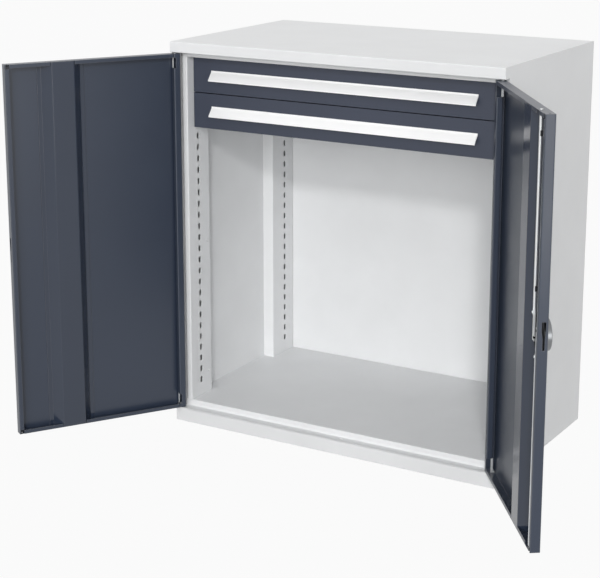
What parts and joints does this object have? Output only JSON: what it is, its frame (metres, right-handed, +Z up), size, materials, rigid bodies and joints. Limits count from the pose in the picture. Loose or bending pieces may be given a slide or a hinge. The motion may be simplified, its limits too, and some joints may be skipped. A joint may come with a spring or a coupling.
{
  "type": "tool cabinet with doors",
  "caption": "Steel tool cabinet with inset hinged doors, shallow drawers behind them and an open compartment below; one door has a turn handle that drives locking rods.",
  "frame": {"origin": "centre of the cabinet's footprint, on the floor", "axes": "+X to the right seen from the front, +Y to the back, +Z up; the doors are on the -Y side"},
  "size_m": [1.5457, 1.0117, 1.1],
  "materials": {
    "body_paint": "light grey powder coat, satin",
    "door_paint": "anthracite powder coat, semi-gloss",
    "drawer_paint": "anthracite powder coat, satin",
    "zinc": "bright zinc plated steel",
    "handle_aluminium": "satin anodised",
    "lock_plastic": "black moulded plastic",
    "cylinder_chrome": "polished",
    "black_steel": "black passivated steel",
    "bush_plastic": "dark moulded plastic"
  },
  "bodies": {
    "carcass": {"top_cover": "body_paint", "side_panel_left": "body_paint", "side_panel_right": "body_paint", "back_panel": "body_paint", "floor_panel": "body_paint", "plinth_front": "body_paint", "base_frame": "body_paint", "header_rail": "body_paint", "front_upright_left": "body_paint", "front_upright_right": "body_paint", "rear_upright_left": "body_paint", "rear_upright_right": "body_paint", "upright_rivets": "body_paint", "hinge_bushes": "bush_plastic", "cabinet_rails": "zinc"},
    "left_door": {"left_door_pan": "door_paint", "left_door_stiffener": "door_paint", "left_hinge_brackets": "zinc", "left_hinge_pins": "zinc"},
    "right_door": {"right_door_pan": "door_paint", "right_door_stiffener": "door_paint", "right_hinge_brackets": "zinc", "right_hinge_pins": "zinc", "lock_plate": "zinc", "lock_bezel": "cylinder_chrome", "rod_guides": "bush_plastic"},
    "turn_handle": {"turn_handle": "lock_plastic", "lock_cylinder": "cylinder_chrome", "lock_spindle": "zinc", "lock_cam": "black_steel"},
    "upper_rod": {"upper_rod": "zinc", "upper_rod_screw": "zinc"},
    "lower_rod": {"lower_rod": "zinc", "lower_rod_screw": "zinc"},
    "upper_drawer": {"upper_drawer_front": "drawer_paint", "upper_drawer_tray": "body_paint", "upper_drawer_handle": "handle_aluminium", "upper_drawer_rails": "zinc"},
    "upper_middle_rails": {"upper_middle_rails": "zinc"},
    "lower_drawer": {"lower_drawer_front": "drawer_paint", "lower_drawer_tray": "body_paint", "lower_drawer_handle": "handle_aluminium", "lower_drawer_rails": "zinc"},
    "lower_middle_rails": {"lower_middle_rails": "zinc"}
  },
  "joints": [
    {"name": "left_door_hinge", "type": "hinge", "parent": "carcass", "child": "left_door", "pos_m": [-0.4895, -0.2915, 0.55], "axis": [0, 0, -1], "range_deg": [-122.4, 57.6]},
    {"name": "right_door_hinge", "type": "hinge", "parent": "carcass", "child": "right_door", "pos_m": [0.4895, -0.2915, 0.55], "axis": [0, 0, 1], "range_deg": [-126.4, 53.6]},
    {"name": "turn_handle_turn", "type": "hinge", "parent": "right_door", "child": "turn_handle", "pos_m": [0.75611, -0.6388, 0.555], "axis": [0.8049, 0.5934, 0], "range_deg": [0, 90]},
    {"name": "upper_rod_slide", "type": "slide", "parent": "right_door", "child": "upper_rod", "axis": [0, 0, 1], "range_m": [0, 0.02263]},
    {"name": "lower_rod_slide", "type": "slide", "parent": "right_door", "child": "lower_rod", "axis": [0, 0, -1], "range_m": [0, 0.02263]},
    {"name": "upper_drawer_slide", "type": "slide", "parent": "carcass", "child": "upper_drawer", "axis": [0, -1, 0], "range_m": [0, 0.48]},
    {"name": "upper_middle_rails_slide", "type": "slide", "parent": "carcass", "child": "upper_middle_rails", "axis": [0, -1, 0], "range_m": [0, 0.24]},
    {"name": "lower_drawer_slide", "type": "slide", "parent": "carcass", "child": "lower_drawer", "axis": [0, -1, 0], "range_m": [0, 0.48]},
    {"name": "lower_middle_rails_slide", "type": "slide", "parent": "carcass", "child": "lower_middle_rails", "axis": [0, -1, 0], "range_m": [0, 0.24]}
  ],
  "couplings": [
    {"joint": "upper_rod_slide", "follows": "turn_handle_turn", "m_per_rad": 0.014405},
    {"joint": "lower_rod_slide", "follows": "turn_handle_turn", "m_per_rad": 0.014405},
    {"joint": "upper_middle_rails_slide", "follows": "upper_drawer_slide", "ratio": 0.5},
    {"joint": "lower_middle_rails_slide", "follows": "lower_drawer_slide", "ratio": 0.5}
  ]
}
